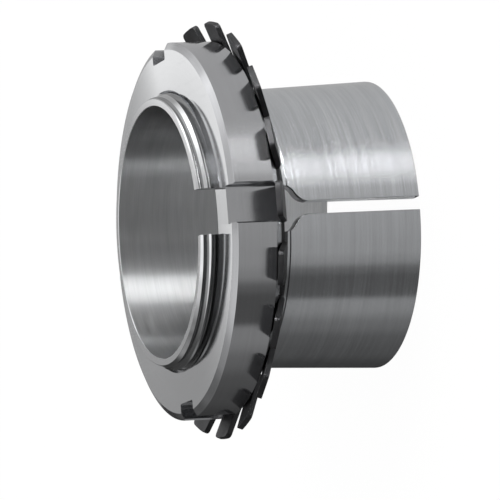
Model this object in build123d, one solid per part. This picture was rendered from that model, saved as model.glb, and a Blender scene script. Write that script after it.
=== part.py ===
from build123d import *
from math import hypot, radians, tan
import os

# Adapter sleeve with its tab washer and lock nut, standing on its large end.
# The sleeve's axis is Z, the slit and the keyway face -Y. Millimetres and degrees.

# Sleeve
shaft_d = 50.0
sleeve_length = 45.0
thread_wall = 2.5
thread_end_chamfer = 1.1
thread_end_chamfer_angle = 30.0
taper_run = 12.0
taper_length = 26.7
taper_step_h = 0.14
taper_step_length = 0.25
large_end_break = 0.4
slit_width = 2.6
slit_corner_r = 3.0
keyway_width = 9.0
keyway_length = 18.5
keyway_corner_r = 2.5
shoulder_angle = 60.0
keyway_angle = -90.0

# Lock nut
nut_wall = 10.0
nut_width = 11.0
nut_setback = 3.2
nut_seat_w = 6.0
nut_seat_chamfer_angle = 30.0
nut_front_chamfer_w = 1.45
nut_front_chamfer_h = 0.75
nut_mouth_chamfer = 0.5
notch_count = 4
notch_width = 7.5
notch_depth = 3.5
notch_corner_r = 0.4

# Tab washer
washer_t = 1.1
tab_count = 19
tab_width = 6.95
tab_length = 8.35
tab_gap_depth = 1.2
tab_corner_r = 0.9
tab_bend_r = 0.8
tang_corner_r = 0.6

# Clearances
thread_clearance = 0.05
washer_bore_clearance = 0.3
washer_seat_gap = 0.03
tab_chamfer_clearance_angle = 5.6
tang_side_clearance = 0.5
tang_shaft_clearance = 0.4

# Levels along the axis
nut_front_z = sleeve_length - nut_setback
nut_back_z = nut_front_z - nut_width
washer_back_z = nut_back_z - washer_seat_gap - washer_t


def turned(points):
    """Solid of revolution about Z from a closed radius and height outline."""
    outline = Polyline(*[(r, 0, z) for r, z in points], close=True)
    return revolve(make_face(outline), Axis.Z)


def near(items, axis, value):
    """The vertices or edges whose position on an axis is the value."""
    return items.filter_by_position(axis, value - 0.001, value + 0.001)


# Sleeve: turned blank with a 1 to 12 taper, a step down to the thread and a chamfered end
bore_r = shaft_d / 2
thread_r = bore_r + thread_wall
taper_slope = 1 / (2 * taper_run)
large_r = thread_r + taper_step_h + taper_length * taper_slope
thread_lead = thread_end_chamfer / tan(radians(thread_end_chamfer_angle))
sleeve = turned([
    (bore_r, 0),
    (large_r - large_end_break, 0),
    (large_r - large_end_break * taper_slope, large_end_break),
    (thread_r + taper_step_h, taper_length),
    (thread_r, taper_length + taper_step_length),
    (thread_r, sleeve_length - thread_lead),
    (thread_r - thread_end_chamfer, sleeve_length),
    (bore_r, sleeve_length),
])

# The slit opens into the keyway over two sloped shoulders, each rounded into an S at both ends
slit_half = slit_width / 2
keyway_half = keyway_width / 2
keyway_end = sleeve_length - keyway_length
shoulder_run = (keyway_half - slit_half) / tan(radians(shoulder_angle))
cut = make_face(Polyline(
    (-slit_half, -1),
    (slit_half, -1),
    (slit_half, keyway_end - shoulder_run),
    (keyway_half, keyway_end),
    (keyway_half, sleeve_length + 1),
    (-keyway_half, sleeve_length + 1),
    (-keyway_half, keyway_end),
    (-slit_half, keyway_end - shoulder_run),
    close=True,
))
slope_length = hypot(keyway_half - slit_half, shoulder_run)
corner_limit = slope_length / tan(radians(shoulder_angle / 2))
outer_corners = near(cut.vertices(), Axis.Y, keyway_end)
cut = fillet(outer_corners, min(keyway_corner_r, 0.44 * corner_limit))
inner_corners = near(cut.vertices(), Axis.Y, keyway_end - shoulder_run)
cut = fillet(inner_corners, min(slit_corner_r, 0.54 * corner_limit))
cutter = extrude(Plane.XZ * cut, amount=large_r * 2)
sleeve -= Rot(0, 0, keyway_angle + 90) * cutter

# Lock nut: turned ring, chamfered at both faces and at both mouths of its thread
nut_r = thread_r + nut_wall
nut_bore_r = thread_r + thread_clearance
nut_mouth_r = nut_bore_r + nut_mouth_chamfer
seat_r = thread_r + nut_seat_w
seat_chamfer_h = (nut_r - seat_r) * tan(radians(nut_seat_chamfer_angle))
nut = turned([
    (nut_bore_r, nut_back_z + nut_mouth_chamfer),
    (nut_mouth_r, nut_back_z),
    (seat_r, nut_back_z),
    (nut_r, nut_back_z + seat_chamfer_h),
    (nut_r, nut_front_z - nut_front_chamfer_h),
    (nut_r - nut_front_chamfer_w, nut_front_z),
    (nut_mouth_r, nut_front_z),
    (nut_bore_r, nut_front_z - nut_mouth_chamfer),
])
notch = Box(notch_depth * 2, notch_width, nut_width * 2)
notch = fillet(notch.edges().filter_by(Axis.Z), notch_corner_r)
notch = Pos(0, 0, (nut_front_z + nut_back_z) / 2) * notch
nut -= [place * notch for place in PolarLocations(nut_r, notch_count, start_angle=keyway_angle)]

# Tab washer: flat ring, cut a little deeper between the tabs than where they bend,
# with an inner tang that slides in the keyway
washer_bore_r = thread_r + washer_bore_clearance
ring_r = seat_r
gap_root_r = ring_r - tab_gap_depth
tab_lean = nut_seat_chamfer_angle - tab_chamfer_clearance_angle
tang_width = keyway_width - 2 * tang_side_clearance
tang_tip = bore_r + tang_shaft_clearance
tang_root = (washer_bore_r + gap_root_r) / 2
ring = Circle(gap_root_r) - Circle(washer_bore_r)
tang = Pos(tang_tip, 0) * Rectangle(tang_root - tang_tip, tang_width, align=(Align.MIN, Align.CENTER))
tang = fillet(near(tang.vertices(), Axis.X, tang_tip), tang_corner_r)
ring += Rot(0, 0, keyway_angle) * tang
washer = Pos(0, 0, washer_back_z) * extrude(ring, amount=washer_t)

# One tab: its side view gives the bend, its front view gives the rounded tip
lean = Vector(1, 0, 0).rotate(Axis.Y, -tab_lean)
square = Vector(0, 0, 1).rotate(Axis.Y, -tab_lean)
bend_front = Vector(ring_r, 0, washer_back_z + washer_t)
tip_front = bend_front + lean * (tab_length + 1)
tip_back = tip_front - square * washer_t
back_run = (washer_back_z - tip_back.Z) / lean.Z
bend_back = tip_back + lean * back_run
side = make_face(Polyline(
    (tang_root, 0, washer_back_z),
    bend_back,
    tip_back,
    tip_front,
    bend_front,
    (tang_root, 0, washer_back_z + washer_t),
    close=True,
))
side = fillet(side.vertices().sort_by_distance(bend_front)[0], tab_bend_r)
side = fillet(side.vertices().sort_by_distance(bend_back)[0], tab_bend_r + washer_t)
strip = extrude(side, amount=tab_width / 2, dir=(0, 1, 0), both=True)
front = Circle(ring_r + tab_length) & Pos(ring_r, 0) * Rectangle(ring_r, tab_width)
front = fillet(front.vertices().sort_by(Axis.X)[-2:], tab_corner_r)
tab_plane = Plane(origin=bend_front - lean * ring_r, x_dir=lean, z_dir=square)
tab = strip & extrude(tab_plane * front, amount=tab_length, both=True)
washer += [place * tab for place in PolarLocations(0, tab_count, start_angle=keyway_angle)]

os.makedirs("parts", exist_ok=True)
export_step(sleeve, "parts/sleeve.step")
export_step(nut, "parts/lock_nut.step")
export_step(washer, "parts/lock_washer.step")
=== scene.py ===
import bpy
import bmesh
from math import asin, ceil, cos, hypot, pi, radians, sin, sqrt, tan
from mathutils import Matrix, Vector


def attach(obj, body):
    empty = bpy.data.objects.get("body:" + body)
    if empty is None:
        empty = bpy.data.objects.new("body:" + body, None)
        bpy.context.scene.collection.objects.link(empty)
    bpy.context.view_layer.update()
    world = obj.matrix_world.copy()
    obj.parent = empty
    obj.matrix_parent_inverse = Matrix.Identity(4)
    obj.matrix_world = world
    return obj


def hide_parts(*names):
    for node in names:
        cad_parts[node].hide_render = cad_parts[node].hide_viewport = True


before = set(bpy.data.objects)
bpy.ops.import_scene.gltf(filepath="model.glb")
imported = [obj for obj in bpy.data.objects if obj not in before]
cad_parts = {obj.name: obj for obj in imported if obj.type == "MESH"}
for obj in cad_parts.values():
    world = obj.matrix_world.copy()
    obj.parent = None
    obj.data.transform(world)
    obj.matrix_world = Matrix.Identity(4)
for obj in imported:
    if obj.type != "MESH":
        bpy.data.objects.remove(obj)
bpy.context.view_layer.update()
print("frame loaded")

mm = 0.001
slitAngle = radians(-90)  # the slit and the keyway face -Y


# camera, long lens, rolled so that the sleeve's axis lies across the picture

cameraSet = {
    "place": (-0.15018, -1.0596, 0.39871),
    "ahead": (0.12887, 0.93545, -0.32912),
    "across": (-0.08153, -0.32077, -0.94364),
    "lens": 409.7,
    "sensor": 36,
    "clip": (0.01, 50),
}


def makeCamera(s):
    ahead = Vector(s["ahead"]).normalized()
    across = (Vector(s["across"]) - ahead * ahead.dot(Vector(s["across"]))).normalized()
    up = across.cross(ahead)
    turn = Matrix((across, up, -ahead)).transposed()
    data = bpy.data.cameras.new("camera")
    data.sensor_width = s["sensor"]
    data.lens = s["lens"]
    data.clip_start, data.clip_end = s["clip"]
    camera = bpy.data.objects.new("camera", data)
    camera.matrix_world = Matrix.Translation(Vector(s["place"])) @ turn.to_4x4()
    bpy.context.scene.collection.objects.link(camera)
    bpy.context.scene.camera = camera


makeCamera(cameraSet)
bpy.context.scene.view_settings.view_transform = "Standard"
print("camera ready")


# mesh helpers, all sizes in millimetres

meshSet = {
    "weldGap": 0.002,
    "shortEdge": 0.001,
}


def meshObject(name, verts, faces):
    data = bpy.data.meshes.new(name)
    data.from_pydata([Vector(v) * mm for v in verts], [], faces)
    data.validate()
    work = bmesh.new()
    work.from_mesh(data)
    bmesh.ops.recalc_face_normals(work, faces=work.faces)
    work.to_mesh(data)
    work.free()
    piece = bpy.data.objects.new(name, data)
    bpy.context.scene.collection.objects.link(piece)
    return piece


def turned(name, outline, steps):
    verts, faces = [], []
    count = len(outline)
    for i in range(steps):
        a = 2 * pi * i / steps
        verts += [(r * cos(a), r * sin(a), z) for r, z in outline]
    for i in range(steps):
        j = (i + 1) % steps
        for k in range(count):
            m = (k + 1) % count
            faces.append((i * count + k, j * count + k, j * count + m, i * count + m))
    return meshObject(name, verts, faces)


def lofted(name, loops):
    verts, faces = [], []
    count = len(loops[0])
    for loop in loops:
        verts += loop
    for i in range(len(loops) - 1):
        for k in range(count):
            m = (k + 1) % count
            faces.append((i * count + k, i * count + m, (i + 1) * count + m, (i + 1) * count + k))
    faces.append(tuple(range(count))[::-1])
    faces.append(tuple((len(loops) - 1) * count + k for k in range(count)))
    return meshObject(name, verts, faces)


def applied(piece):
    graph = bpy.context.evaluated_depsgraph_get()
    shaped = bpy.data.meshes.new_from_object(piece.evaluated_get(graph))
    piece.modifiers.clear()
    old = piece.data
    piece.data = shaped
    bpy.data.meshes.remove(old)


def carve(piece, cutter):
    tool = piece.modifiers.new("carve", "BOOLEAN")
    tool.operation = "DIFFERENCE"
    tool.solver = "EXACT"
    tool.object = cutter
    applied(piece)
    bpy.data.objects.remove(cutter)


def smoothed(piece, angle):
    work = bmesh.new()
    work.from_mesh(piece.data)
    bmesh.ops.remove_doubles(work, verts=work.verts, dist=meshSet["weldGap"] * mm)
    bmesh.ops.dissolve_degenerate(work, edges=work.edges, dist=meshSet["shortEdge"] * mm)
    for face in work.faces:
        face.smooth = True
    for edge in work.edges:
        edge.smooth = len(edge.link_faces) == 2 and edge.calc_face_angle(0) < radians(angle)
    work.to_mesh(piece.data)
    work.free()
    # weighted normals keep flat faces flat in reflections
    piece.modifiers.new("weighted", "WEIGHTED_NORMAL").keep_sharp = True
    applied(piece)


# thread: the sleeve and the nut are cut with a section of radius and height pairs, wound round the axis

threadSet = {
    "pitch": 2.0,
    "crest": -0.29,  # height of a crest at angle 0, modulo the pitch
    "majorR": 27.5,
    "depth": 1.12,
    "crestFlat": 0.42,
    "flankAngle": 30.0,
    "rootRise": 0.05,
    "rootFlare": 0.03,
    "overcut": 0.12,
    "grooveRelief": 0.08,
    "fit": 0.035,
    "stepsPerTurn": 256,
}


def coil(name, section, lowest, highest, phase, fadeTurns):
    t = threadSet
    firstAngle = (lowest - phase) / t["pitch"] * 2 * pi
    lastAngle = (highest - phase) / t["pitch"] * 2 * pi
    steps = ceil((lastAngle - firstAngle) / (2 * pi) * t["stepsPerTurn"])
    loops = []
    for i in range(steps + 1):
        a = firstAngle + (lastAngle - firstAngle) * i / steps
        turns = (a - firstAngle) / (2 * pi)
        lift = 0
        if fadeTurns:
            lift = max(0, 1 - turns / fadeTurns) * t["depth"]
        z = phase + t["pitch"] * a / (2 * pi)
        loops.append([((r + lift) * cos(a), (r + lift) * sin(a), z + h) for r, h in section])
    return lofted(name, loops)


# sleeve

sleeveSet = {
    "length": 45.0,
    "boreR": 25.0,
    "boreBreak": 0.12,
    "largeR": 28.7525,
    "largeBreak": 0.4,
    "largeBreakShape": ((0.42, 0.13), (0.14, 0.42)),  # inward and upward shares of the break
    "largeBreakEnd": 0.03,
    "taperLength": 26.7,
    "taperTopR": 27.64,
    "stepLength": 0.25,
    "endChamfer": 1.1,
    "endChamferAngle": 30.0,
    "endLip": 0.05,
    "endLipRise": 0.03,
    "threadStart": 27.76,
    "threadFade": 0.2,  # turns over which the thread runs out
    "threadPast": 2.5,
    "slitHalf": 1.3,
    "keywayHalf": 4.5,
    "keywayEnd": 26.5,
    "shoulderAngle": 60.0,
    "floorCornerR": 2.5,
    "lipR": 3.0,
    "edgeBreak": 0.07,
    "shoulderBreak": 0.25,
    "breakGrowth": 5,  # corner steps over which one break grows into the other
    "breakDelay": 0.6,
    "cornerSteps": 8,
    "slitRows": (-2.0, 8.0, 16.0),
    "keywayRows": (33.0, 39.0, 47.0),
    "cutterY": -18.0,
    "cutterMargin": 0.02,
    "cutterPast": 4.0,
    "steps": 512,
    "sharpAngle": 24,
}


def slitOutline(s, share):
    half, wide, floor = s["slitHalf"], s["keywayHalf"], s["keywayEnd"]
    corner, lip = s["floorCornerR"], s["lipR"]
    thin, broad = s["edgeBreak"], s["shoulderBreak"]
    growth, steps = s["breakGrowth"], s["cornerSteps"]
    lean = radians(s["shoulderAngle"])
    lipZ = floor - (wide - half) / tan(lean) - lip * tan(lean / 2)
    cornerZ = floor + corner * tan(lean / 2)
    side = [(half, z, thin) for z in s["slitRows"]]
    for i in range(steps + 1):  # rounded lip between slit and shoulder
        a = lean * i / steps
        edge = thin + (broad - thin) * min(i / growth, 1)
        side.append((half + lip - lip * cos(a), lipZ + lip * sin(a), edge))
    for i in range(steps + 1):  # milled corner of the keyway
        a = lean * (1 - i / steps)
        edge = broad + (thin - broad) * max(i / growth - s["breakDelay"], 0)
        side.append((wide - corner + corner * cos(a), cornerZ - corner * sin(a), edge))
    side += [(wide, z, thin) for z in s["keywayRows"]]
    grown = []
    for i, (x, z, edge) in enumerate(side):
        ax, az = side[max(i - 1, 0)][:2]
        bx, bz = side[min(i + 1, len(side) - 1)][:2]
        dx, dz = bx - ax, bz - az
        step = share * edge / hypot(dx, dz)
        grown.append((x + step * dz, z - step * dx, edge))
    return grown + [(-x, z, edge) for x, z, edge in reversed(grown)]


def outerR(s, z):
    if z >= s["taperLength"]:
        return threadSet["majorR"]
    down = 1 - max(z, 0) / s["taperLength"]
    return s["taperTopR"] + (s["largeR"] - s["taperTopR"]) * down


def makeSlitCutter(s):
    plain, wide = slitOutline(s, 0), slitOutline(s, 1)
    margin = s["cutterMargin"]

    def depthLoop(outline, radius, extra, share):
        return [(x, -(sqrt(radius(z) ** 2 - x * x) + extra + share * edge), z) for x, z, edge in outline]

    def bore(z):
        return s["boreR"]

    def outer(z):
        return outerR(s, z)

    loops = [
        [(x, s["cutterY"], z) for x, z, edge in wide],
        depthLoop(wide, bore, -margin, 0),
        depthLoop(plain, bore, 0, 1),
        depthLoop(plain, outer, 0, -1),
        depthLoop(wide, outer, margin, 0),
        depthLoop(wide, outer, s["cutterPast"], 0),
    ]
    return lofted("slitCutter", loops)


def makeSleeve(s):
    t = threadSet
    b = s["boreBreak"]
    big = s["largeBreak"]
    leadZ = s["length"] - s["endChamfer"] / tan(radians(s["endChamferAngle"]))
    outline = [(s["boreR"] + b, 0), (s["largeR"] - big, 0)]
    outline += [(s["largeR"] - big * inward, big * upward) for inward, upward in s["largeBreakShape"]]
    outline += [
        (s["largeR"] - s["largeBreakEnd"], big),
        (s["taperTopR"], s["taperLength"]),
        (t["majorR"], s["taperLength"] + s["stepLength"]),
        (t["majorR"], leadZ),
        (t["majorR"] - s["endChamfer"] + s["endLipRise"], s["length"] - s["endLip"]),
        (t["majorR"] - s["endChamfer"] - s["endLip"], s["length"]),
        (s["boreR"] + b, s["length"]),
        (s["boreR"], s["length"] - b),
        (s["boreR"], b),
    ]
    piece = turned("sleeveBody", outline, s["steps"])
    slope = tan(radians(t["flankAngle"]))
    rootHalf = t["pitch"] / 2 - t["crestFlat"] / 2 - t["depth"] * slope
    openHalf = t["pitch"] / 2 - t["crestFlat"] / 2 + t["overcut"] * slope
    rootR = t["majorR"] - t["depth"]
    openR = t["majorR"] + t["overcut"]
    section = [
        (rootR + t["rootRise"], -rootHalf - t["rootFlare"]),
        (rootR, 0),
        (rootR + t["rootRise"], rootHalf + t["rootFlare"]),
        (openR, openHalf),
        (openR, -openHalf),
    ]
    phase = t["crest"] + t["pitch"] / 2
    topZ = s["length"] + s["threadPast"]
    carve(piece, coil("sleeveThreadCutter", section, s["threadStart"], topZ, phase, s["threadFade"]))
    carve(piece, makeSlitCutter(s))
    smoothed(piece, s["sharpAngle"])
    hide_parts("sleeve")
    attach(piece, "sleeve")
    return piece


sleeve = makeSleeve(sleeveSet)
print("sleeve made", len(sleeve.data.polygons))


# lock nut

nutSet = {
    "backZ": 30.8,
    "frontZ": 41.8,
    "outerR": 37.5,
    "seatR": 33.5,
    "seatAngle": 30.0,
    "frontChamferW": 1.45,
    "frontChamferH": 0.75,
    "mouthR": 28.05,
    "minorR": 26.5,
    "notchHalf": 3.75,
    "notchFloorR": 34.0,
    "notchRootR": 0.4,
    "notchRootSteps": 4,
    "notchBreak": 0.33,
    "notchFlare": 0.05,
    "notchCount": 4,
    "cutterPastRim": 3,
    "cutterPastFace": 2,
    "threadPast": 1.6,
    "seatEdge": 0.06,
    "edgeHalf": 0.04,
    "rimEdge": 0.08,
    "faceEdge": 0.06,
    "faceEdgeDrop": 0.03,
    "steps": 512,
    "sharpAngle": 20,
}


def makeNut(s):
    t = threadSet
    seatH = (s["outerR"] - s["seatR"]) * tan(radians(s["seatAngle"]))
    mouthH = s["mouthR"] - s["minorR"]
    soft = s["edgeHalf"]
    outline = [
        (s["mouthR"], s["backZ"]),
        (s["seatR"], s["backZ"]),
        (s["outerR"] - s["seatEdge"], s["backZ"] + seatH - soft),
        (s["outerR"], s["backZ"] + seatH + soft),
        (s["outerR"], s["frontZ"] - s["frontChamferH"] - soft),
        (s["outerR"] - s["rimEdge"], s["frontZ"] - s["frontChamferH"] + soft),
        (s["outerR"] - s["frontChamferW"] + s["faceEdge"], s["frontZ"] - s["faceEdgeDrop"]),
        (s["outerR"] - s["frontChamferW"] - s["faceEdge"], s["frontZ"]),
        (s["mouthR"], s["frontZ"]),
        (s["minorR"], s["frontZ"] - mouthH),
        (s["minorR"], s["backZ"] + mouthH),
    ]
    piece = turned("lockNutBody", outline, s["steps"])
    slope = tan(radians(t["flankAngle"]))
    grooveR = t["majorR"] + t["grooveRelief"]
    grooveHalf = t["crestFlat"] / 2 + t["fit"] - t["grooveRelief"] * slope
    innerR = s["minorR"] - t["overcut"]
    innerHalf = grooveHalf + (grooveR - innerR) * slope
    section = [
        (innerR, -innerHalf),
        (grooveR, -grooveHalf),
        (grooveR, grooveHalf),
        (innerR, innerHalf),
    ]
    past = s["threadPast"]
    carve(piece, coil("nutThreadCutter", section, s["backZ"] - past, s["frontZ"] + past, t["crest"], 0))
    half, floor, root, edge = s["notchHalf"], s["notchFloorR"], s["notchRootR"], s["notchBreak"]
    rimR = sqrt(s["outerR"] ** 2 - half * half)
    side = [(floor, half - root)]
    for i in range(1, s["notchRootSteps"] + 1):
        a = radians(90) * i / s["notchRootSteps"]
        side.append((floor + root - root * cos(a), half - root + root * sin(a)))
    side.append((rimR - edge, half))
    side.append((rimR + s["notchFlare"], half + edge))
    side.append((rimR + s["cutterPastRim"], half + edge))
    cut = side + [(r, -x) for r, x in reversed(side)]
    past = s["cutterPastFace"]
    for k in range(s["notchCount"]):
        a = slitAngle + 2 * pi * k / s["notchCount"]
        loops = []
        for z in (s["backZ"] - past, s["frontZ"] + past):
            loops.append([(r * cos(a) - x * sin(a), r * sin(a) + x * cos(a), z) for r, x in cut])
        carve(piece, lofted("notchCutter", loops))
    smoothed(piece, s["sharpAngle"])
    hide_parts("lock_nut")
    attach(piece, "nut")
    return piece


nut = makeNut(nutSet)
print("nut made", len(nut.data.polygons))


# tab washer: flat ring with leaning tabs and one inner tang

washerSet = {
    "backZ": 29.67,
    "thickness": 1.1,
    "boreR": 27.8,
    "ringR": 33.5,
    "gapRootR": 32.3,
    "ringRows": (29.3, 30.8),
    "tabCount": 19,
    "tabHalf": 3.475,
    "tabLength": 8.35,
    "tabColumns": (-1, -0.964, -0.888, -0.727, -0.36, 0, 0.36, 0.727, 0.888, 0.964, 1),
    "tabMidShare": 0.55,
    "lean": 24.4,
    "tipCornerR": 0.9,
    "bendR": 0.8,
    "tangHalf": 4.0,
    "tangTipR": 25.4,
    "tangCornerR": 0.6,
    "edgeRound": 0.07,
    "edgeAngle": 50,
    "sharpAngle": 35,
}


def makeWasher(s):
    lean = radians(s["lean"])
    thick = s["thickness"]
    backZ, frontZ = s["backZ"], s["backZ"] + thick
    ringR, boreR = s["ringR"], s["boreR"]
    columns = s["tabColumns"]
    tangAngle = asin(s["tangHalf"] / boreR)
    sector = 2 * pi / s["tabCount"]
    rootR = s["gapRootR"]
    ringRadii = (boreR, *s["ringRows"], rootR)
    tabAngles = [asin(c * s["tabHalf"] / rootR) for c in columns]
    angles = [-sector / 2, -tangAngle] + tabAngles + [tangAngle]
    points, faces, index = [], [], {}

    def vertex(key, place):
        if key not in index:
            index[key] = len(points)
            points.append(place)
        return index[key]

    def bent(front, v, run):
        corner = ringR if front else ringR + thick * tan(lean / 2)
        radius = s["bendR"] if front else s["bendR"] + thick
        z = frontZ if front else backZ
        tangent = radius * tan(lean / 2)
        if run < 3:  # the three lines of the bend
            a = lean * run / 2
            return corner - tangent + radius * sin(a), z + radius * (1 - cos(a))
        reach = sqrt((ringR + s["tabLength"]) ** 2 - v * v) - ringR
        over = abs(v) - (s["tabHalf"] - s["tipCornerR"])
        if over > 0:
            reach -= s["tipCornerR"] - sqrt(max(s["tipCornerR"] ** 2 - over * over, 0))
        share = s["tabMidShare"] if run == 3 else 1
        x = ringR + reach * share * cos(lean)
        z = frontZ + reach * share * sin(lean)
        if not front:
            x += thick * sin(lean)
            z -= thick * cos(lean)
        return x, z

    def tabPoint(front, k, c, run):
        turn = slitAngle + sector * k
        v = columns[c] * s["tabHalf"]
        x, z = bent(front, v, run)
        place = (x * cos(turn) - v * sin(turn), x * sin(turn) + v * cos(turn), z)
        return vertex((front, k, "tab", c, run), place)

    def ringPoint(front, k, c, row):
        if c == len(angles):
            k, c = (k + 1) % s["tabCount"], 0
        a = slitAngle + sector * k + angles[c]
        r = ringRadii[row]
        return vertex((front, k, "ring", c, row), (r * cos(a), r * sin(a), frontZ if front else backZ))

    def tangPoint(front, c):
        v = boreR * sin(angles[c])
        y = s["tangTipR"]
        if c in (1, len(angles) - 1):  # the tang's own corners
            y += s["tangCornerR"]
        return vertex((front, "tang", c), (v, -y, frontZ if front else backZ))

    for front in (True, False):
        for k in range(s["tabCount"]):
            for c in range(len(angles)):
                for row in range(3):
                    faces.append((ringPoint(front, k, c, row), ringPoint(front, k, c + 1, row),
                                  ringPoint(front, k, c + 1, row + 1), ringPoint(front, k, c, row + 1)))
            for c in range(len(columns) - 1):
                faces.append((ringPoint(front, k, c + 2, 3), ringPoint(front, k, c + 3, 3),
                              tabPoint(front, k, c + 1, 0), tabPoint(front, k, c, 0)))
                for run in range(4):
                    faces.append((tabPoint(front, k, c, run), tabPoint(front, k, c + 1, run),
                                  tabPoint(front, k, c + 1, run + 1), tabPoint(front, k, c, run + 1)))
        for c in range(1, len(angles) - 1):
            faces.append((ringPoint(front, 0, c, 0), ringPoint(front, 0, c + 1, 0),
                          tangPoint(front, c + 1), tangPoint(front, c)))

    # walls join the open edges of the front face to the same edges of the back face
    twin = {index[key]: index[(False,) + key[1:]] for key in index if key[0]}
    uses = {}
    for face in faces:
        for i in range(4):
            pair = (face[i], face[(i + 1) % 4])
            uses[frozenset(pair)] = uses.get(frozenset(pair), 0) + 1
    for pair, count in uses.items():
        a, b = tuple(pair)
        if count == 1 and a in twin and b in twin:
            faces.append((a, b, twin[b], twin[a]))
    piece = meshObject("lockWasherBody", points, faces)
    rounding = piece.modifiers.new("edgeRound", "BEVEL")
    rounding.width = s["edgeRound"] * mm
    rounding.segments = 2
    rounding.limit_method = "ANGLE"
    rounding.angle_limit = radians(s["edgeAngle"])
    applied(piece)
    smoothed(piece, s["sharpAngle"])
    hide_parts("lock_washer")
    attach(piece, "washer")
    return piece


washer = makeWasher(washerSet)
print("washer made", len(washer.data.polygons))


# node helpers

def newGroup(name, inputs, outputs):
    group = bpy.data.node_groups.new(name, "ShaderNodeTree")
    for label, kind, value in inputs:
        socket = group.interface.new_socket(name=label, in_out="INPUT", socket_type=kind)
        if value is not None:
            socket.default_value = value
    for label, kind in outputs:
        group.interface.new_socket(name=label, in_out="OUTPUT", socket_type=kind)
    return group, group.nodes.new("NodeGroupInput"), group.nodes.new("NodeGroupOutput")


def mathNode(tree, operation, first, second=None, third=None):
    node = tree.nodes.new("ShaderNodeMath")
    node.operation = operation
    for i, value in enumerate((first, second, third)):
        if value is None:
            continue
        if hasattr(value, "links"):
            tree.links.new(value, node.inputs[i])
        else:
            node.inputs[i].default_value = value
    return node.outputs[0]


def mapped(tree, value, low, high, toLow, toHigh):
    node = tree.nodes.new("ShaderNodeMapRange")
    node.inputs["From Min"].default_value = low
    node.inputs["From Max"].default_value = high
    for label, to in (("To Min", toLow), ("To Max", toHigh)):
        if hasattr(to, "links"):
            tree.links.new(to, node.inputs[label])
        else:
            node.inputs[label].default_value = to
    tree.links.new(value, node.inputs["Value"])
    return node.outputs["Result"]


def vectorNode(tree, operation, first, second=None):
    node = tree.nodes.new("ShaderNodeVectorMath")
    node.operation = operation
    tree.links.new(first, node.inputs[0])
    slot = node.inputs["Scale"] if operation == "SCALE" else node.inputs[1]
    if hasattr(second, "links"):
        tree.links.new(second, slot)
    elif second is not None:
        slot.default_value = second
    return node.outputs["Value"] if operation in ("DOT_PRODUCT", "LENGTH") else node.outputs["Vector"]


def mixColour(tree, share, first, second):
    node = tree.nodes.new("ShaderNodeMix")
    node.data_type = "RGBA"
    tree.links.new(share, node.inputs[0])
    for i, value in ((6, first), (7, second)):  # the two colour inputs
        if hasattr(value, "links"):
            tree.links.new(value, node.inputs[i])
        else:
            node.inputs[i].default_value = (value,) * 3 + (1,)
    return node.outputs[2]


def groupNode(tree, group, values):
    node = tree.nodes.new("ShaderNodeGroup")
    node.node_tree = group
    for label, value in values.items():
        node.inputs[label].default_value = value
    return node


def twoToneRamp(tree, value, low, high):
    ramp = tree.nodes.new("ShaderNodeValToRGB")
    for stop, (at, colour) in zip(ramp.color_ramp.elements, (low, high)):
        stop.position = at
        stop.color = (*colour, 1)
    tree.links.new(value, ramp.inputs[0])
    return ramp.outputs[0]


# turned finish: fine lines round the axis, on walls and faces alike

def makeTurnedLines():
    group, ins, outs = newGroup("turnedLines", [
        ("linesPerMm", "NodeSocketFloat", 8.0),
        ("breakup", "NodeSocketFloat", 6.0),
        ("seed", "NodeSocketFloat", 0.0),
    ], [("lines", "NodeSocketFloat"), ("coarse", "NodeSocketFloat")])
    spot = group.nodes.new("ShaderNodeTexCoord").outputs["Object"]
    parts = group.nodes.new("ShaderNodeSeparateXYZ")
    group.links.new(spot, parts.inputs[0])
    x, y, z = parts.outputs
    squares = mathNode(group, "ADD", mathNode(group, "MULTIPLY", x, x), mathNode(group, "MULTIPLY", y, y))
    radius = mathNode(group, "SQRT", squares)
    perMetre = mathNode(group, "MULTIPLY", ins.outputs["linesPerMm"], 1 / mm)
    for label, share in (("lines", 1.0), ("coarse", 0.16)):
        scale = mathNode(group, "MULTIPLY", perMetre, share)
        join = group.nodes.new("ShaderNodeCombineXYZ")
        for i, side in enumerate((x, y)):
            aim = mathNode(group, "DIVIDE", side, radius)
            group.links.new(mathNode(group, "MULTIPLY", aim, ins.outputs["breakup"]), join.inputs[i])
        count = mathNode(group, "MULTIPLY", radius, scale)
        group.links.new(mathNode(group, "ADD", count, ins.outputs["seed"]), join.inputs[2])
        noise = group.nodes.new("ShaderNodeTexNoise")
        noise.noise_dimensions = "4D"
        noise.inputs["Scale"].default_value = 1.0
        noise.inputs["Detail"].default_value = 3.0
        group.links.new(join.outputs[0], noise.inputs["Vector"])
        group.links.new(mathNode(group, "MULTIPLY", z, scale), noise.inputs["W"])
        group.links.new(noise.outputs["Fac"], outs.inputs[label])
    return group


# saw-tooth slope of the feed marks that facing leaves on flat ends

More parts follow.
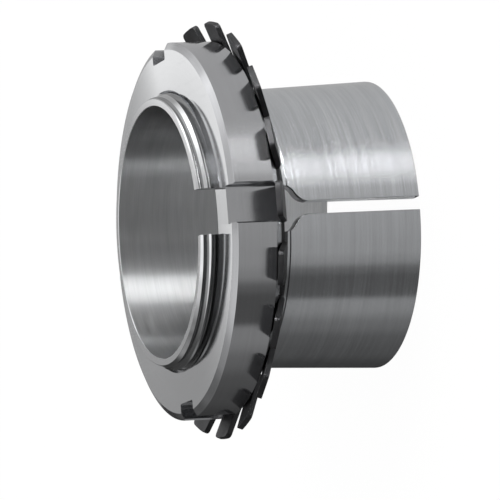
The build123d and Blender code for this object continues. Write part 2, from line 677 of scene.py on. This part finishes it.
def makeFeedMarks():
    group, ins, outs = newGroup("feedMarks", [
        ("lines", "NodeSocketFloat", 0.5),
        ("slope", "NodeSocketFloat", 0.2),
    ], [("normal", "NodeSocketVector")])
    coords = group.nodes.new("ShaderNodeTexCoord")
    flatness = group.nodes.new("ShaderNodeSeparateXYZ")
    group.links.new(coords.outputs["Normal"], flatness.inputs[0])
    flat = mapped(group, flatness.outputs[2], 0.8, 0.97, 0.0, 1.0)
    across = vectorNode(group, "MULTIPLY", coords.outputs["Object"], (1, 1, 0))
    toWorld = group.nodes.new("ShaderNodeVectorTransform")
    toWorld.vector_type = "VECTOR"
    toWorld.convert_from = "OBJECT"
    toWorld.convert_to = "WORLD"
    group.links.new(vectorNode(group, "NORMALIZE", across), toWorld.inputs[0])
    lean = mapped(group, ins.outputs["lines"], 0.5, 0.62, 0.0, ins.outputs["slope"])
    leaning = vectorNode(group, "SCALE", toWorld.outputs[0], mathNode(group, "MULTIPLY", lean, flat))
    normal = group.nodes.new("ShaderNodeNewGeometry").outputs["Normal"]
    total = vectorNode(group, "ADD", normal, leaning)
    group.links.new(vectorNode(group, "NORMALIZE", total), outs.inputs["normal"])
    return group


# handling marks: faint cloudy wear and short crossing scratches

def makeMarks():
    group, ins, outs = newGroup("handlingMarks", [
        ("cloudSize", "NodeSocketFloat", 60.0),
        ("scratchSize", "NodeSocketFloat", 300.0),
    ], [("cloud", "NodeSocketFloat"), ("scratch", "NodeSocketFloat")])
    spot = group.nodes.new("ShaderNodeTexCoord").outputs["Object"]
    noise = group.nodes.new("ShaderNodeTexNoise")
    noise.inputs["Detail"].default_value = 4.0
    group.links.new(spot, noise.inputs["Vector"])
    group.links.new(ins.outputs["cloudSize"], noise.inputs["Scale"])
    group.links.new(noise.outputs["Fac"], outs.inputs["cloud"])
    total = None
    for turn in (0.5, 1.4, 2.3):
        place = group.nodes.new("ShaderNodeMapping")
        place.inputs["Rotation"].default_value = (turn, turn * 1.7, turn * 0.6)
        place.inputs["Scale"].default_value = (1.0, 0.06, 1.0)
        group.links.new(spot, place.inputs["Vector"])
        wave = group.nodes.new("ShaderNodeTexNoise")
        wave.inputs["Detail"].default_value = 1.0
        group.links.new(place.outputs[0], wave.inputs["Vector"])
        group.links.new(mathNode(group, "MULTIPLY", ins.outputs["scratchSize"], 6.0), wave.inputs["Scale"])
        line = mathNode(group, "GREATER_THAN", wave.outputs["Fac"], 0.69)
        total = line if total is None else mathNode(group, "MAXIMUM", total, line)
    group.links.new(total, outs.inputs["scratch"])
    return group


turnedLines = makeTurnedLines()
feedMarks = makeFeedMarks()
handlingMarks = makeMarks()


def metal(name):
    material = bpy.data.materials.new(name)
    material.use_nodes = True
    tree = material.node_tree
    shader = tree.nodes["Principled BSDF"]
    shader.inputs["Metallic"].default_value = 1.0
    return material, tree, shader


# a finish may be painted paler towards the large end, as painted light: a gain that grows from the upper
# height down to the lower one

def steel(name, s):
    material, tree, shader = metal(name)
    shader.inputs["Anisotropic"].default_value = s["stretch"]
    shader.inputs["Anisotropic Rotation"].default_value = 0.25
    lines = groupNode(tree, turnedLines, {key: s[key] for key in ("linesPerMm", "breakup", "seed")})
    marks = groupNode(tree, handlingMarks, {"cloudSize": s["cloudSize"]})
    tone = mathNode(tree, "MULTIPLY", lines.outputs["lines"], 0.4)
    tone = mathNode(tree, "MULTIPLY_ADD", lines.outputs["coarse"], 0.4, tone)
    tone = mathNode(tree, "MULTIPLY_ADD", marks.outputs["cloud"], 0.2, tone)
    darker = [c * (1 - s["contrast"]) for c in s["colour"]]
    lighter = [min(c * (1 + s["contrast"]), 1) for c in s["colour"]]
    base = twoToneRamp(tree, tone, (0.38, darker), (0.62, lighter))
    # painted light: the colour is scaled paler towards the large end, standing for light that reaches the
    # bore there
    if s.get("paintedLightBoost"):
        parts = tree.nodes.new("ShaderNodeSeparateXYZ")
        tree.links.new(tree.nodes.new("ShaderNodeTexCoord").outputs["Object"], parts.inputs[0])
        gain = mapped(tree, parts.outputs[2], s["paintedLightFrom"] * mm, s["paintedLightTo"] * mm, s["paintedLightBoost"], 1.0)
        base = vectorNode(tree, "SCALE", base, gain)
    tree.links.new(base, shader.inputs["Base Color"])
    rough = mapped(tree, lines.outputs["lines"], 0.46, 0.56, s["roughLow"], s["roughHigh"])
    rough = mathNode(tree, "MULTIPLY_ADD", marks.outputs["scratch"], s["scratch"], rough)
    tree.links.new(rough, shader.inputs["Roughness"])
    if s["slope"]:
        feed = groupNode(tree, feedMarks, {"slope": s["slope"]})
        tree.links.new(lines.outputs["lines"], feed.inputs["lines"])
        tree.links.new(feed.outputs["normal"], shader.inputs["Normal"])
    tangent = tree.nodes.new("ShaderNodeTangent")
    tangent.direction_type = "RADIAL"
    tangent.axis = "Z"
    tree.links.new(tangent.outputs[0], shader.inputs["Tangent"])
    return material


sleeveSteel = steel("groundSleeveSteel", {
    "colour": (0.67, 0.685, 0.705),
    "contrast": 0.08,
    "roughLow": 0.15,
    "roughHigh": 0.19,
    "slope": 0.2,
    "scratch": 0.05,
    "stretch": 1.0,
    "linesPerMm": 3.0,
    "breakup": 1.2,
    "seed": 3.1,
    "cloudSize": 70.0,
})
# painted shade and painted light: the bore's colour is darker than the outside steel for the shade inside
# the bore, and is painted paler towards the large end
borePaintedShadeSteel = steel("honedBorePaintedShadeSteel", {
    "colour": (0.48, 0.485, 0.49),
    "paintedLightBoost": 1.55,
    "paintedLightFrom": 9.0,
    "paintedLightTo": 21.0,
    "contrast": 0.10,
    "roughLow": 0.30,
    "roughHigh": 0.38,
    "slope": 0,
    "scratch": 0.0,
    "stretch": 1.0,
    "linesPerMm": 5.0,
    "breakup": 2.5,
    "seed": 5.7,
    "cloudSize": 70.0,
})
endSteel = steel("smoothSleeveEndSteel", {
    "colour": (0.62, 0.625, 0.635),
    "contrast": 0.02,
    "roughLow": 0.05,
    "roughHigh": 0.065,
    "slope": 0,
    "scratch": 0.02,
    "stretch": 0.6,
    "linesPerMm": 14.0,
    "breakup": 2.0,
    "seed": 6.2,
    "cloudSize": 90.0,
})
# painted shade: the thread's flanks and roots get a much darker colour than the rest of the same steel,
# standing for the shade in the grooves
threadShadeSteel = steel("cutThreadPaintedShadeSteel", {
    "colour": (0.30, 0.303, 0.308),
    "contrast": 0.05,
    "roughLow": 0.16,
    "roughHigh": 0.22,
    "slope": 0,
    "scratch": 0.0,
    "stretch": 0.5,
    "linesPerMm": 10.0,
    "breakup": 2.0,
    "seed": 1.3,
    "cloudSize": 90.0,
})
# painted shade: the slit's shoulder walls get a much darker colour than the rest of the same steel,
# standing for shade on them
shoulderShadeSteel = steel("milledShoulderPaintedShadeSteel", {
    "colour": (0.24, 0.243, 0.248),
    "contrast": 0.08,
    "roughLow": 0.42,
    "roughHigh": 0.52,
    "slope": 0,
    "scratch": 0.0,
    "stretch": 0.3,
    "linesPerMm": 6.0,
    "breakup": 2.0,
    "seed": 4.6,
    "cloudSize": 90.0,
})
nutSteel = steel("turnedNutSteel", {
    "colour": (0.56, 0.565, 0.58),
    "contrast": 0.03,
    "roughLow": 0.10,
    "roughHigh": 0.15,
    "slope": 0.03,
    "scratch": 0.02,
    "stretch": 1.0,
    "linesPerMm": 14.0,
    "breakup": 2.0,
    "seed": 8.4,
    "cloudSize": 90.0,
})
nutFaceSteel = steel("lappedNutSteel", {
    "colour": (0.56, 0.565, 0.575),
    "contrast": 0.02,
    "roughLow": 0.052,
    "roughHigh": 0.06,
    "slope": 0,
    "scratch": 0.01,
    "stretch": 1.0,
    "linesPerMm": 14.0,
    "breakup": 2.0,
    "seed": 2.9,
    "cloudSize": 90.0,
})


def darkSteel(name, s):
    material, tree, shader = metal(name)
    marks = groupNode(tree, handlingMarks, {"cloudSize": s["cloudSize"]})
    base = twoToneRamp(tree, marks.outputs["cloud"], (0.3, s["dark"]), (0.75, s["light"]))
    tree.links.new(base, shader.inputs["Base Color"])
    rough = mapped(tree, marks.outputs["cloud"], 0.3, 0.7, s["rough"] * 0.85, s["rough"] * 1.2)
    tree.links.new(rough, shader.inputs["Roughness"])
    bump = tree.nodes.new("ShaderNodeBump")
    bump.inputs["Distance"].default_value = 0.002 * mm
    tree.links.new(marks.outputs["scratch"], bump.inputs["Height"])
    tree.links.new(bump.outputs[0], shader.inputs["Normal"])
    return material


washerSteel = darkSteel("rolledWasherSteel", {
    "dark": (0.045, 0.045, 0.047),
    "light": (0.08, 0.08, 0.083),
    "rough": 0.48,
    "cloudSize": 250.0,
})


def putOn(piece, finishes, choose=None):
    piece.data.materials.clear()
    for material in finishes:
        piece.data.materials.append(material)
    if choose:
        for face in piece.data.polygons:
            face.material_index = finishes.index(choose(face))


# which finish a face gets, by its height and radius in millimetres and the upward part of its normal; the
# bore, the thread's grooves and the slit's shoulder walls get darker colours as painted shade

finishSet = {
    "wallLift": 0.2,
    "boreMargin": 0.01,
    "threadShadeZ": (27, 44.94),
    "flankLift": (0.7, 0.93),
    "rootR": 26.6,
    "rootLift": 0.3,
    "shoulderShadeZ": (22.9, 27.5),
    "shoulderHalf": 4.8,
    "endZ": 42,
    "nutFaceLift": 0.999,
}


def sleeveFinish(face):
    s = finishSet
    radius = hypot(face.center.x, face.center.y) / mm
    height = face.center.z / mm
    lift = face.normal.z
    # painted shade: bore walls get the darker bore colour
    if radius < sleeveSet["boreR"] + s["boreMargin"] and abs(lift) < s["wallLift"]:
        return borePaintedShadeSteel
    # painted shade mask: the thread's flanks and roots
    onFlank = s["flankLift"][0] < abs(lift) < s["flankLift"][1]
    inRoot = radius < s["rootR"] and lift < s["rootLift"]
    if s["threadShadeZ"][0] < height < s["threadShadeZ"][1] and (onFlank or inRoot):
        return threadShadeSteel
    # painted shade mask: the walls of the slit's shoulders
    inSlit = face.center.y < 0 and abs(face.center.x) < s["shoulderHalf"] * mm
    if s["shoulderShadeZ"][0] < height < s["shoulderShadeZ"][1] and inSlit and abs(face.normal.y) < s["wallLift"]:
        return shoulderShadeSteel
    return endSteel if height > s["endZ"] else sleeveSteel


def nutFinish(face):
    return nutFaceSteel if abs(face.normal.z) > finishSet["nutFaceLift"] else nutSteel


putOn(sleeve, (sleeveSteel, borePaintedShadeSteel, endSteel, threadShadeSteel, shoulderShadeSteel), sleeveFinish)
putOn(nut, (nutSteel, nutFaceSteel), nutFinish)
putOn(washer, (washerSteel,))
print("materials ready")


# floor, white to the camera apart from the object's shadow

floorSet = {
    "size": 6.0,
    "shade": 0.9,
    "shadowShare": 0.03,
    "darkR": 26.0,
}


def makeFloor(s):
    half = s["size"] / 2 / mm
    corners = [(-half, -half, 0), (half, -half, 0), (half, half, 0), (-half, half, 0)]
    floor = meshObject("studioFloor", corners, [(0, 1, 2, 3)])
    material = bpy.data.materials.new("studioFloorPaint")
    material.use_nodes = True
    tree = material.node_tree
    tree.nodes.remove(tree.nodes["Principled BSDF"])
    matte = tree.nodes.new("ShaderNodeBsdfDiffuse")
    matte.inputs["Color"].default_value = (s["shade"],) * 3 + (1,)
    white = tree.nodes.new("ShaderNodeEmission")
    white.inputs["Color"].default_value = (1, 1, 1, 1)
    white.inputs["Strength"].default_value = 1.0
    ray = tree.nodes.new("ShaderNodeLightPath")
    mix = tree.nodes.new("ShaderNodeMixShader")
    seen = mathNode(tree, "MULTIPLY", ray.outputs["Is Camera Ray"], 1 - s["shadowShare"])
    tree.links.new(seen, mix.inputs[0])
    tree.links.new(matte.outputs[0], mix.inputs[1])
    tree.links.new(white.outputs[0], mix.inputs[2])
    # in the metal the floor shows only where it is under the bore, elsewhere the studio's panels do
    reach = vectorNode(tree, "LENGTH", tree.nodes.new("ShaderNodeNewGeometry").outputs["Position"])
    outside = mathNode(tree, "GREATER_THAN", reach, s["darkR"] * mm)
    hidden = mathNode(tree, "MULTIPLY", outside, ray.outputs["Is Glossy Ray"])
    clear = tree.nodes.new("ShaderNodeBsdfTransparent")
    show = tree.nodes.new("ShaderNodeMixShader")
    tree.links.new(hidden, show.inputs[0])
    tree.links.new(mix.outputs[0], show.inputs[1])
    tree.links.new(clear.outputs[0], show.inputs[2])
    tree.links.new(show.outputs[0], tree.nodes["Material Output"].inputs["Surface"])
    floor.data.materials.append(material)


makeFloor(floorSet)
print("floor ready")


# studio round the object: soft panels and darker gaps, by compass angle from the slit's side

studioSet = {
    "fill": 1.0,
    "flagFrom": (170.45, 18.2),  # a dark flag's straight edge, from one angle and elevation to another
    "flagTo": (171.7, 18.95),
    "flagSoft": 0.2,
    "flagReach": (17, 13),  # degrees from its middle where it is gone, and where it starts to fade
    "flagLevel": 0.42,
    "levels": [  # height of the direction, then angle in degrees and brightness round the compass
        (0.06, [
            (-180, 0.03), (-160, 0.05), (-130, 0.09), (-112, 0.11), (-95, 0.18), (-78, 0.29),
            (-71, 0.29), (-66, 0.1), (-50, 0.1), (-44, 0.15), (-36, 0.32), (-28, 0.38), (0, 0.42),
            (22, 0.5), (29, 0.74), (42, 0.92), (46, 0.91), (54, 0.58), (62, 0.51), (110, 0.51),
            (165, 0.46), (180, 0.22),
        ]),
        (0.24, [
            (-180, 0.1), (-152, 0.1), (-136, 0.42), (-112, 0.15), (-66, 0.08), (12, 0.1), (22, 0.8),
            (31, 1.5), (38, 1.6), (54, 1.6), (62, 1.8), (72, 2.0), (88, 1.6), (108, 1.4), (118, 1.1),
            (130, 0.6), (150, 0.42), (160, 1.28), (174, 1.28), (178, 0.44),
        ]),
        (0.3, [
            (-180, 0.1), (-150, 0.11), (-130, 0.42), (-104, 0.15), (-66, 0.08), (12, 0.1), (22, 1.2),
            (31, 1.6), (38, 1.8), (54, 1.8), (62, 3.0), (74, 3.0), (90, 2.4), (106, 1.9), (120, 0.9),
            (134, 0.5), (150, 0.52), (160, 1.28), (174, 1.28), (178, 0.44),
        ]),
        (0.36, [
            (-180, 0.1), (-148, 0.12), (-126, 0.42), (-102, 0.16), (-66, 0.08), (12, 0.1), (22, 1.5),
            (31, 3.0), (37, 36.0), (55, 36.0), (63, 9.0), (74, 5.5), (90, 3.6), (104, 2.2),
            (120, 0.8), (134, 0.5), (150, 0.6), (160, 1.28), (174, 1.28), (178, 0.44),
        ]),
        (0.42, [
            (-180, 0.1), (-146, 0.12), (-126, 0.3), (-112, 0.43), (-90, 0.2), (-66, 0.08), (12, 0.1),
            (22, 1.5), (31, 3.0), (37, 36.0), (55, 36.0), (63, 4.0), (74, 2.4), (90, 1.8),
            (106, 1.2), (130, 0.6), (150, 0.7), (160, 1.28), (174, 1.28), (178, 0.42),
        ]),
        (0.5, [
            (-180, 0.15), (-120, 0.25), (-95, 0.45), (-80, 0.5), (-60, 0.1), (15, 0.1), (34, 0.8),
            (60, 1.2), (76, 1.6), (95, 1.2), (130, 0.7), (150, 0.9), (160, 1.28), (174, 1.28),
            (178, 0.4),
        ]),
        (0.57, [
            (-180, 0.15), (-115, 0.2), (-95, 0.4), (-78, 1.0), (-66, 0.9), (-50, 0.4), (15, 0.3),
            (34, 0.7), (60, 1.1), (80, 1.4), (130, 0.9), (150, 0.9), (160, 1.2), (170, 1.0),
            (176, 0.4),
        ]),
        (0.63, [
            (-180, 0.15), (-100, 0.3), (-70, 1.3), (-50, 1.4), (-30, 1.2), (-8, 1.4), (15, 1.0),
            (34, 0.7), (60, 1.1), (92, 1.8), (130, 1.3), (163, 1.3), (168, 1.0), (173, 0.35),
        ]),
        (0.67, [
            (-180, 0.2), (-100, 0.35), (-60, 0.8), (-35, 1.2), (-8, 1.4), (15, 1.0), (34, 0.7),
            (60, 1.2), (92, 1.8), (130, 1.4), (163, 1.3), (168, 1.0), (173, 0.35),
        ]),
        (0.72, [
            (-180, 0.3), (-150, 0.35), (-60, 0.4), (10, 0.5), (60, 1.3), (92, 1.5), (140, 1.2),
            (165, 1.0), (172, 0.6), (178, 0.35),
        ]),
        (0.78, [
            (-180, 0.35), (-150, 0.4), (-100, 0.5), (-20, 0.6), (30, 1.5), (60, 1.5), (90, 1.3),
            (140, 1.1), (165, 0.8), (172, 0.7), (178, 0.35),
        ]),
        (0.9, [
            (-180, 0.75), (-80, 1.05), (0, 1.0), (60, 1.0), (100, 0.9), (140, 0.65), (165, 0.55),
            (180, 0.75),
        ]),
    ],
}


def angleRamp(tree, turn, stops):
    ramp = tree.nodes.new("ShaderNodeValToRGB")
    bar = ramp.color_ramp
    bar.interpolation = "EASE"
    while len(bar.elements) > 1:
        bar.elements.remove(bar.elements[-1])
    for i, (angle, level) in enumerate(stops):
        at = (angle + 180) / 360
        stop = bar.elements[0] if i == 0 else bar.elements.new(at)
        stop.position = at
        stop.color = (level, level, level, 1)
    tree.links.new(turn, ramp.inputs[0])
    return ramp.outputs[0]


def makeStudio(s):
    world = bpy.data.worlds.new("studio")
    bpy.context.scene.world = world
    world.use_nodes = True
    tree = world.node_tree
    back = tree.nodes["Background"]
    spot = tree.nodes.new("ShaderNodeTexCoord").outputs["Generated"]
    parts = tree.nodes.new("ShaderNodeSeparateXYZ")
    tree.links.new(spot, parts.inputs[0])
    x, y, z = parts.outputs
    turn = mathNode(tree, "ARCTAN2", x, mathNode(tree, "MULTIPLY", y, -1.0))
    turn = mathNode(tree, "MULTIPLY_ADD", turn, 1 / (2 * pi), 0.5)
    total, below = None, None
    for height, stops in s["levels"]:
        level = angleRamp(tree, turn, stops)
        if total is None:
            total = level
        else:
            lift = tree.nodes.new("ShaderNodeMapRange")
            lift.interpolation_type = "SMOOTHSTEP"
            lift.inputs["From Min"].default_value = below
            lift.inputs["From Max"].default_value = height
            tree.links.new(z, lift.inputs["Value"])
            total = mixColour(tree, lift.outputs["Result"], total, level)
        below = height
    # the flag's edge lies on the plane through its two directions
    ends = []
    for compass, rise in (s["flagFrom"], s["flagTo"]):
        flat, aim = cos(radians(rise)), radians(compass)
        ends.append(Vector((flat * sin(aim), -flat * cos(aim), sin(radians(rise)))))
    side = vectorNode(tree, "DOT_PRODUCT", spot, ends[0].cross(ends[1]).normalized())
    near = vectorNode(tree, "DOT_PRODUCT", spot, (ends[0] + ends[1]).normalized())
    soft = sin(radians(s["flagSoft"]))
    far, close = [cos(radians(reach)) for reach in s["flagReach"]]
    behind = mapped(tree, side, -soft, soft, 1.0, 0.0)
    beside = mapped(tree, near, far, close, 0.0, 1.0)
    total = mixColour(tree, mathNode(tree, "MULTIPLY", behind, beside), total, s["flagLevel"])
    # white to the camera and through glass, the panels in the metal, an even light on the floor
    ray = tree.nodes.new("ShaderNodeLightPath")
    shiny = mixColour(tree, ray.outputs["Is Glossy Ray"], s["fill"], total)
    straight = mathNode(tree, "MAXIMUM", ray.outputs["Is Camera Ray"], ray.outputs["Is Transmission Ray"])
    tree.links.new(mixColour(tree, straight, shiny, 1.0), back.inputs["Color"])
    back.inputs["Strength"].default_value = 1.0


makeStudio(studioSet)


# one large soft lamp, high on the side that the bright panel is on

lampSet = {
    "place": (0.55, -0.35, 0.75),
    "size": 0.6,
    "power": 5.0,
}


def makeLamp(s):
    data = bpy.data.lights.new("softLamp", "AREA")
    data.shape = "SQUARE"
    data.size = s["size"]
    data.energy = s["power"]
    lamp = bpy.data.objects.new("softLamp", data)
    place = Vector(s["place"])
    lamp.matrix_world = Matrix.Translation(place) @ place.to_track_quat("Z", "Y").to_matrix().to_4x4()
    lamp.visible_glossy = False
    bpy.context.scene.collection.objects.link(lamp)


makeLamp(lampSet)
print("studio ready")
